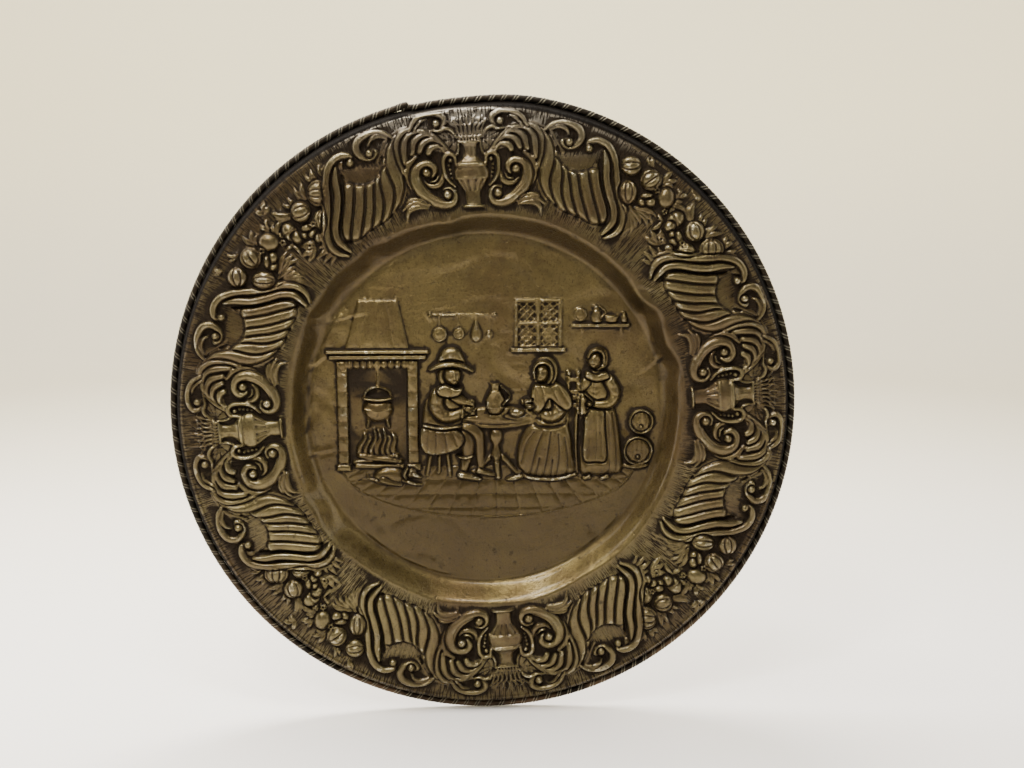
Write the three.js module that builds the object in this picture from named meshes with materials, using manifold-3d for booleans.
// A round wall plaque: a dish pressed and chased from one sheet of brass, with a rope moulding
// fixed around its turned-back edge.
//
// Millimetres, +Z up, +X right, the front faces -Y. The origin is the centre of the flat back of the
// well, where the plaque lies against a wall. A height is counted from that back towards the front.
// Places on the band are polar: an angle in degrees clockwise from a quarter's axis, and a radius.

import * as THREE from 'three';
import { ParametricGeometry } from 'three/addons/geometries/ParametricGeometry.js';
import { mergeVertices } from 'three/addons/utils/BufferGeometryUtils.js';
import Module from 'manifold-3d';

const wasm = await Module();
wasm.setup();

// ---- driving dimensions --------------------------------------------------------------------------

const OUTER_R = 330;          // over the rope moulding
const ROPE_R = 3.6;           // half the rope's thickness
const ROPE_JOINT = -15.2;     // where the two ends of the rope meet, degrees clockwise from the top
const SHEET = 0.8;            // thickness of the brass
const WELL_DEPTH = 24;        // from the back of the well to the back of the band
const FLOOR_R = 187;          // flat floor of the well
const LIP_R = 209;            // lip between the well and the band
const BAND_R = 316;           // fine edge where the band turns back
const TURN_BACK = 13;         // how far the edge is turned back
const GAP = 0.3;              // clearance between the dish and the rope
const QUARTERS = 4;
const PATTERN_TURN = -3.85;   // the border's pattern stands a little counter-clockwise of upright
const DISH_SEGMENTS = 60;
const ROPE_SIDES = 6;

const EDGE_R = OUTER_R - 2 * ROPE_R - GAP;      // end of the turned-back edge
const BAND_HEIGHT = WELL_DEPTH + SHEET;         // front of the band
const ROPE_HEIGHT = BAND_HEIGHT - TURN_BACK;    // middle of the rope
const SINK = 0.6 * SHEET;     // how deep a relief is rooted in the sheet
const TALLEST = 12;           // no relief stands higher than this over its ground

// ---- closed meshes and solids --------------------------------------------------------------------

const rad = THREE.MathUtils.degToRad;

/** A manifold solid from a closed geometry: seams are merged, flat triangles dropped, faces out. */
function solid(geometry) {
  const bare = geometry.clone();
  bare.deleteAttribute('normal');
  bare.deleteAttribute('uv');
  const merged = mergeVertices(bare, 1e-3);
  const p = merged.attributes.position;
  const kept = [];
  let volume = 0;
  const a = new THREE.Vector3();
  const b = new THREE.Vector3();
  const c = new THREE.Vector3();
  for (let i = 0; i < merged.index.count; i += 3) {
    const [u, v, w] = [0, 1, 2].map((k) => merged.index.getX(i + k));
    if (u === v || v === w || w === u) continue;
    kept.push(u, v, w);
    a.fromBufferAttribute(p, u);
    b.fromBufferAttribute(p, v);
    c.fromBufferAttribute(p, w);
    volume += a.dot(b.cross(c));
  }
  if (volume < 0) kept.reverse();
  return new wasm.Manifold(new wasm.Mesh({
    numProp: 3,
    vertProperties: new Float32Array(p.array),
    triVerts: new Uint32Array(kept),
  }));
}

function geometryOf(manifold) {
  const mesh = manifold.getMesh();
  const geometry = new THREE.BufferGeometry();
  geometry.setAttribute('position', new THREE.BufferAttribute(new Float32Array(mesh.vertProperties), 3));
  geometry.setIndex(new THREE.BufferAttribute(new Uint32Array(mesh.triVerts), 1));
  geometry.computeVertexNormals();
  return geometry;
}

const join = (solids) => solids.reduce((all, next) => all.add(next));

/** A ring or disc turned about the Y axis from [radius, height] points. */
function turned(points, segments = DISH_SEGMENTS) {
  return solid(new THREE.LatheGeometry(points.map(([r, h]) => new THREE.Vector2(r, -h)), segments));
}

/** Both sides of a sheet whose middle line is the given [radius, height] points. */
function sheetProfile(middle, thickness) {
  const side = (sign) => middle.map(([r, h], i) => {
    const before = middle[Math.max(i - 1, 0)];
    const after = middle[Math.min(i + 1, middle.length - 1)];
    const here = new THREE.Vector2(r, h);
    const into = i ? here.clone().sub(new THREE.Vector2(...before)).normalize() : null;
    const out = i < middle.length - 1 ? new THREE.Vector2(...after).sub(here).normalize() : null;
    const along = (into ?? out).clone().add(out ?? into).normalize();
    const stretch = along.dot(into ?? out);
    return [r - sign * along.y * thickness / 2 / stretch, h + sign * along.x * thickness / 2 / stretch];
  });
  const front = side(1);
  const back = side(-1);
  return [...front, ...back.reverse()];
}

// ---- relief shapes: closed lumps whose lower half is cut away where they root in the sheet -----------

/**
 * A rib, stem, limb or leaf along a smooth line of [x, z, half width] points. Its section is a ridge;
 * where it narrows it is also lower.
 */
function rib(points, height, steps = 4, sides = 4) {
  const line = new THREE.CatmullRomCurve3(points.map(([x, z, w]) => new THREE.Vector3(x, z, w)));
  const widest = Math.max(...points.map(([, , w]) => w));
  const place = new THREE.Vector3();
  const ahead = new THREE.Vector3();
  return (ground) => solid(new ParametricGeometry((u, v, target) => {
    line.getPoint(u, place);
    line.getTangent(u, ahead);
    const run = Math.hypot(ahead.x, ahead.y);
    const closed = u === 0 || u === 1;
    const half = closed ? 0 : place.z;
    const rise = closed ? 0 : height * Math.sqrt(Math.max(half, 0) / widest);
    const across = half * Math.cos(2 * Math.PI * v);
    const up = rise * Math.sin(2 * Math.PI * v);
    target.set(place.x + across * ahead.y / run, SINK - ground - up, place.y - across * ahead.x / run);
  }, steps, sides));
}

/** A fruit, bead, head or boss: an ellipsoid of half sizes rx and rz, turned in the plaque's plane. */
function boss(x, z, rx, rz, height, turn = 0, around = 6, down = 4) {
  return (ground) => {
    const ball = new THREE.SphereGeometry(1, around, down);
    ball.rotateX(Math.PI / 2);
    ball.rotateY(Math.PI / around);
    ball.scale(rx, height, rz);
    ball.rotateY(rad(turn));
    ball.translate(x, SINK - ground, z);
    return solid(ball);
  };
}

/** A flat-topped slab over the outline given by [x, z] corners. */
function slab(corners, height) {
  return (ground) => {
    const outline = new THREE.Shape(corners.map(([x, z]) => new THREE.Vector2(x, z)));
    const block = new THREE.ExtrudeGeometry(outline, { depth: height + SINK, bevelEnabled: false });
    block.rotateX(Math.PI / 2);
    block.translate(0, SINK - ground, 0);
    return solid(block);
  };
}

/** The box slab from one corner to the other. */
const block = (x0, z0, x1, z1, height) => slab([[x0, z0], [x1, z0], [x1, z1], [x0, z1]], height);

/** A half-round vessel standing along +Z at x, with [half width, z] points. */
function vessel(x, profile, depth = 0.5, around = 6) {
  return (ground) => {
    const [first, last] = [profile[0], profile[profile.length - 1]];
    const points = [[0, first[1]], ...profile, [0, last[1]]].map(([r, z]) => new THREE.Vector2(r, z));
    const body = new THREE.LatheGeometry(points, around);
    body.rotateX(Math.PI / 2);
    body.scale(1, depth, 1);
    body.translate(x, SINK - ground, 0);
    return solid(body);
  };
}

// ---- the border: one quarter, from its urn's axis ----------------------------------------------------

/** [x, z] of a polar place seen from the quarter's axis. */
const at = (angle, r) => [r * Math.sin(rad(angle)), r * Math.cos(rad(angle))];
/** A line of [angle, radius, half width] points as [x, z, half width], mirrored if side is -1. */
const bent = (side, points) => points.map(([angle, r, w]) => [...at(side * angle, r), w]);

function urn() {
  const body = vessel(0, [
    [12.5, 213], [12.5, 217], [8, 221], [8, 228], [14, 236], [19.5, 246], [20.5, 253], [18, 259], [8, 266],
    [7.5, 274], [12.5, 280],
  ], 0.45);
  const flame = [-9, 0, 9].map((lean) => rib([[lean * 0.5, 276, 5], [lean, 290, 6], [lean * 0.8, 309, 1]], 6, 3));
  const handles = [-1, 1].map((side) => rib(bent(side, [
    [3.6, 266, 2.4], [4.9, 270, 2.4], [6.1, 262, 2.4], [5.6, 247, 2.4], [4.2, 236, 2],
  ]), 4.5, 5));
  return [body, ...flame, ...handles];
}

/** The C-scroll beside the urn, its two curled ends, the small scroll above it and the sprig below. */
function scrolls(side) {
  return [
    rib(bent(side, [
      [9.6, 254, 3], [9.3, 261, 4], [12.3, 261, 4.6], [13.3, 246, 5], [11, 229, 5], [7, 222, 4.2],
      [5.1, 229, 3.4], [6.6, 233, 2],
    ]), 6, 9),
    rib(bent(side, [[5.6, 296, 2.6], [5.3, 305, 2.6], [7.4, 308, 2.8], [9.6, 303, 2.6], [10.5, 296, 1.6]]), 4),
    rib(bent(side, [[12.3, 226, 2], [15.2, 231, 3.8], [17.7, 227, 3.4], [18.9, 213, 1]]), 4, 3),
  ];
}

/** The ribs of a cornucopia, each a line from its outer to its inner end. */
function horn(side) {
  const tail = [
    [[5.6, 277, 2.5], [8.5, 287, 4], [12.5, 285, 4], [14, 272, 2]],
    [[6.5, 284, 2.5], [10.5, 294, 4.2], [14.6, 288, 4.4], [16, 262, 4], [18.4, 229, 3]],
  ];
  const body = [0, 1, 2, 3, 4].map((k) => {
    const lean = k / 4;
    return [
      [15.4 + 11 * lean, 296 - 26 * Math.min(k, 1), 3.4], [17.6 + 9.8 * lean, 270 - 6 * lean, 5],
      [19.4 + 10.4 * lean, 248, 5.4], [22.6 + 10.9 * lean, 226 + 4 * lean, 3],
    ];
  });
  const mouth = [
    [[24.6, 292, 2.6], [25, 301, 3.6], [27.8, 295, 4], [29.6, 266, 4.2], [34, 240, 4.2], [36, 221, 3]],
    [[29.5, 291, 2.6], [31.2, 268, 3.6], [35.2, 250, 4], [37.6, 236, 3.6], [37.3, 222, 2.4]],
  ];
  const cover = [[16, 296, 2], [18.6, 304, 3.6], [21.2, 298, 4], [21.4, 288, 3.6], [19.6, 285, 2.4]];
  return [
    ...tail.map((line) => rib(bent(side, line), 6.5)),
    ...body.map((line) => rib(bent(side, line), 8.5)),
    ...mouth.map((line) => rib(bent(side, line), 8, 5)),
    rib(bent(side, cover), 5.5),
  ];
}

/** Melons, split fruit and leaves between two facing horns: [angle, radius, half size, height]. */
function fruit() {
  const round = [
    [32.4, 293, 11, 9], [36.9, 290, 11, 9], [34.6, 269, 12, 9], [41.5, 286, 9, 8], [38.8, 269, 7.5, 7],
    [42, 259, 8, 7], [46.3, 277, 9, 8], [50.7, 282, 11, 9], [56, 287, 14, 9], [53, 262, 13, 9],
    [49, 259, 10, 8], [45.3, 249, 7, 6],
  ];
  const leaves = [
    [[37, 254, 3], [38.6, 243, 6], [38.4, 226, 1]], [[41.5, 252, 3], [41.2, 241, 5], [39.8, 230, 1]],
    [[46, 250, 3], [48, 243, 6], [50.5, 226, 1]], [[43.5, 296, 3], [43, 301, 4.5], [41, 308, 1]],
    [[48, 290, 3], [49, 298, 4.5], [49.5, 305, 1]], [[38.5, 302, 3], [37.5, 305, 4], [35, 309, 1]],
  ];
  return [
    ...round.map(([angle, r, size, height]) => boss(...at(angle, r), size, size, height, angle)),
    ...leaves.map((line) => rib(bent(1, line), 4, 3)),
  ];
}

function border() {
  const quarter = [urn(), scrolls(-1), scrolls(1), horn(-1), horn(1), fruit()].flat();
  const cut = turned([
    [LIP_R + 1, WELL_DEPTH + SHEET / 2], [BAND_R - 1, WELL_DEPTH + SHEET / 2],
    [BAND_R - 1, BAND_HEIGHT + TALLEST], [LIP_R + 1, BAND_HEIGHT + TALLEST],
    [LIP_R + 1, WELL_DEPTH + SHEET / 2],
  ]);
  const one = join(quarter.map((shape) => shape(BAND_HEIGHT)));
  const all = Array.from({ length: QUARTERS }, (_, k) => (
    one.rotate([0, PATTERN_TURN + k * 360 / QUARTERS, 0])
  ));
  return join(all).intersect(cut);
}

// ---- the picture in the well: a kitchen with a hearth, a table and barrels --------------------------

function hearth() {
  const mantel = block(-166, 56, -66, 66, 6);
  const hood = slab([[-150, 66], [-84, 66], [-96, 118], [-132, 118]], 3);
  const jambs = [[-160, -146], [-88, -74]].map(([x0, x1]) => block(x0, -62, x1, 56, 4.5));
  const pot = [boss(-117, 2, 16, 14, 7), rib([[-117, 14, 1.6], [-117, 56, 1.6]], 3, 3)];
  const flames = [-10, 0, 10].map((lean) => (
    rib([[-117 + lean, -58, 4], [-117 + lean * 1.4, -42, 5], [-117 + lean * 0.8, -22, 1]], 4, 4)
  ));
  return [mantel, hood, ...jambs, ...pot, ...flames];
}

function table() {
  return [
    boss(8, -6, 42, 9, 7, 0, 8),
    rib([[8, -12, 6], [8, -40, 4], [8, -60, 6]], 5, 4),
    rib([[-16, -66, 3], [8, -56, 4], [32, -66, 3]], 4, 4),
    vessel(2, [[7, 0], [11, 10], [9, 20], [5, 28], [7, 33]], 0.7),
    vessel(26, [[6, -1], [7, 12]], 0.7),
  ];
}

/** A seated figure in profile, knees towards +X if side is 1. */
function sitter(x, side, hat) {
  const facing = (points) => points.map(([px, pz, w]) => [x + side * px, pz, w]);
  return [
    rib(facing([[-4, -34, 17], [-3, -10, 18], [0, 14, 17], [2, 28, 8]]), 9, 5),
    boss(x + side * 6, 42, 9, 11, 9, 0),
    boss(x + side * 4, 50, hat, 5, 7, side * 8),
    rib(facing([[0, 18, 6], [8, 0, 6.5], [26, 4, 5], [34, 8, 4]]), 10, 6),
    rib(facing([[-4, -32, 10], [16, -28, 9], [30, -30, 8], [28, -52, 6], [28, -70, 5]]), 9, 7),
    rib(facing([[24, -70, 5], [40, -73, 3]]), 5, 3),
    rib(facing([[-16, -44, 3], [-16, -56, 3], [-18, -72, 3]]), 4, 3),
    rib(facing([[4, -44, 3], [4, -58, 3], [6, -72, 3]]), 4, 3),
  ];
}

function maid() {
  return [
    rib([[112, 10, 10], [112, -20, 17], [112, -62, 22], [112, -66, 20]], 8, 5),
    rib([[112, 14, 12], [112, 30, 14], [112, 42, 7]], 8, 4),
    boss(110, 55, 8.5, 10.5, 8),
    boss(111, 60, 10, 8, 7),
    rib([[100, 36, 5], [92, 18, 5], [88, 4, 4]], 8, 4),
    vessel(86, [[5, -10], [8, -4], [5, 6], [6, 10]], 0.7),
  ];
}

function casks() {
  return [[150, -44, 17], [170, -16, 12], [147, -12, 13]].map(([x, z, r]) => boss(x, z, r, r, 6, 0, 8));
}

function wallThings() {
  const shelf = [block(86, 90, 146, 95, 4), ...[96, 112, 128].map((x) => boss(x, 102, 6, 7, 4))];
  const window = [
    block(28, 66, 76, 71, 4), block(28, 112, 76, 117, 4), block(28, 71, 33, 112, 3), block(71, 71, 76, 112, 3),
    block(33, 90, 71, 93, 2),
  ];
  const rail = [block(-62, 98, 8, 101, 2.5), ...[-50, -28, -6].map((x, i) => boss(x, 86 - i * 2, 8, 9, 4))];
  return [shelf, window, rail].flat();
}

function floorTiles() {
  const rows = [-78, -92, -106];
  const edge = (z) => 158 * Math.sqrt(1 - (z + 62) ** 2 / 60 ** 2);
  return rows.map((z) => rib([[-edge(z), z, 1.2], [0, z - 1, 1.6], [edge(z), z, 1.2]], 1.2, 6));
}

function picture() {
  const shapes = [
    hearth(), table(), sitter(-46, 1, 15), sitter(62, -1, 10), maid(), casks(), wallThings(), floorTiles(),
  ].flat();
  const cut = turned([[0, SHEET / 2], [FLOOR_R, SHEET / 2], [FLOOR_R, SHEET + TALLEST], [0, SHEET + TALLEST]]);
  return join(shapes.map((shape) => shape(SHEET))).intersect(cut);
}

// ---- the two pieces ----------------------------------------------------------------------------------

function dish() {
  const t = SHEET / 2;
  const sheet = turned(sheetProfile([
    [0, t], [FLOOR_R, t], [LIP_R - 6, WELL_DEPTH - 3], [LIP_R, WELL_DEPTH + t],
    [BAND_R, WELL_DEPTH + t], [EDGE_R - t, ROPE_HEIGHT],
  ], SHEET));
  return join([sheet, border(), picture()]);
}

function rope() {
  const middle = OUTER_R - ROPE_R;
  const half = (GAP + 0.2) / 2 / middle;
  const start = rad(ROPE_JOINT) + half;
  const length = 2 * Math.PI - 2 * half;
  const steps = DISH_SEGMENTS;
  return solid(new ParametricGeometry((u, v, target) => {
    // The first and last steps close the two ends flat.
    const ring = Math.min(Math.max(u * (steps + 2) - 1, 0), steps) / steps;
    const half_ = u === 0 || u === 1 ? 0 : ROPE_R;
    const angle = start + length * ring;
    const r = middle + half_ * Math.cos(2 * Math.PI * v);
    target.set(r * Math.sin(angle), half_ * Math.sin(2 * Math.PI * v) - ROPE_HEIGHT, r * Math.cos(angle));
  }, steps + 2, ROPE_SIDES));
}

const brass = (color) => new THREE.MeshStandardMaterial({ color, metalness: 0.9, roughness: 0.45 });

function piece(name, manifold, material) {
  const mesh = new THREE.Mesh(geometryOf(manifold), material);
  mesh.name = name;
  return mesh;
}

const plaque = new THREE.Group();
plaque.add(piece('embossed_dish', dish(), brass(0x7d6536)));
plaque.add(piece('rope_rim', rope(), brass(0x4a3a20)));

export default plaque;
